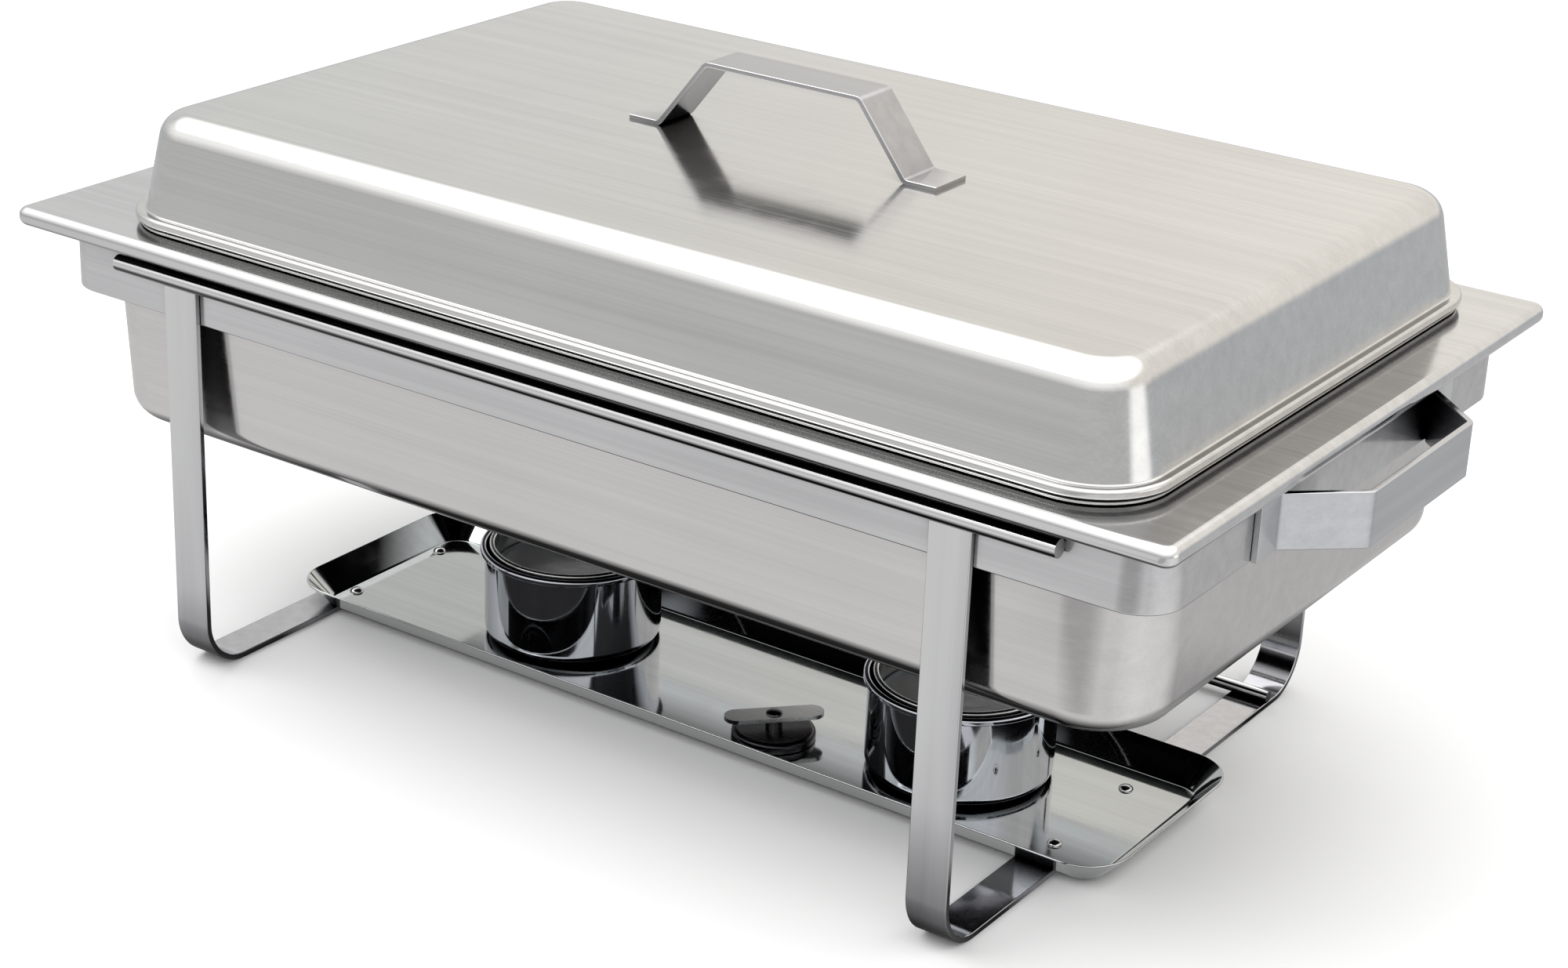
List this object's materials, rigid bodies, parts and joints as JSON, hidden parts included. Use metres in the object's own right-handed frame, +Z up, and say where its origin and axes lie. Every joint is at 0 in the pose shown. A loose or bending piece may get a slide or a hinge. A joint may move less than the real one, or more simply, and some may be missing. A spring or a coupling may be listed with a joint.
{
  "type": "chafing dish",
  "caption": "Rectangular buffet food warmer: lift-off lid with bridge handle, food pan in a water pan on a flat-strap frame, fuel burners on a low shelf.",
  "frame": {"origin": "on the table, under the middle of the frame", "axes": "+X along the length to the right as the front is seen, +Y from front to back, +Z up"},
  "size_m": [0.659, 0.362, 0.3085],
  "materials": {
    "lid_steel": "satin, brushed along its length",
    "grip_steel": "polished",
    "deck_steel": "satin, brushed along its length",
    "well_steel": "semi-bright, drawn sheet",
    "pan_steel": "bright drawn sheet",
    "frame_steel": "semi-bright sheet",
    "rod_steel": "polished round rod",
    "strap_steel": "polished flat strap",
    "shelf_steel": "mirror-polished sheet",
    "burner_steel": "mirror-polished sheet",
    "can_tin": "bright tin plate",
    "fuel_gel": "glossy pale gel",
    "snuffer_steel": "darkened steel",
    "rivet_steel": "polished"
  },
  "bodies": {
    "frame": {"support_ring": "frame_steel", "rail_front": "rod_steel", "rail_back": "rod_steel", "leg_left": "strap_steel", "leg_right": "strap_steel", "handle_left": "strap_steel", "handle_right": "strap_steel", "rear_tie_rod": "rod_steel", "fuel_shelf": "shelf_steel", "shelf_rivets": "rivet_steel"},
    "well": {"top_deck": "deck_steel", "water_pan": "well_steel"},
    "pan": {"food_pan": "pan_steel"},
    "lid": {"lid_shell": "lid_steel", "lid_handle": "grip_steel"},
    "burner_left": {"burner_cup_left": "burner_steel"},
    "burner_right": {"burner_cup_right": "burner_steel"},
    "fuel_left": {"fuel_can_left": "can_tin", "fuel_gel_left": "fuel_gel"},
    "fuel_right": {"fuel_can_right": "can_tin", "fuel_gel_right": "fuel_gel"},
    "snuffer": {"snuffer_lid": "snuffer_steel", "snuffer_bar": "snuffer_steel", "snuffer_rivet": "rivet_steel"}
  },
  "joints": [
    {"name": "well_lift", "type": "slide", "parent": "frame", "child": "well", "axis": [0, 0, 1], "range_m": [0, 0.12]},
    {"name": "pan_lift", "type": "slide", "parent": "well", "child": "pan", "axis": [0, 0, 1], "range_m": [0, 0.1]},
    {"name": "lid_lift", "type": "slide", "parent": "pan", "child": "lid", "axis": [0, 0, 1], "range_m": [0, 0.15]},
    {"name": "burner_left_lift", "type": "slide", "parent": "frame", "child": "burner_left", "axis": [0, 0, 1], "range_m": [0, 0.03]},
    {"name": "burner_right_lift", "type": "slide", "parent": "frame", "child": "burner_right", "axis": [0, 0, 1], "range_m": [0, 0.03]},
    {"name": "fuel_left_lift", "type": "slide", "parent": "burner_left", "child": "fuel_left", "axis": [0, 0, 1], "range_m": [0, 0.03]},
    {"name": "fuel_right_lift", "type": "slide", "parent": "burner_right", "child": "fuel_right", "axis": [0, 0, 1], "range_m": [0, 0.03]},
    {"name": "snuffer_lift", "type": "slide", "parent": "frame", "child": "snuffer", "axis": [0, 0, 1], "range_m": [0, 0.05]}
  ]
}
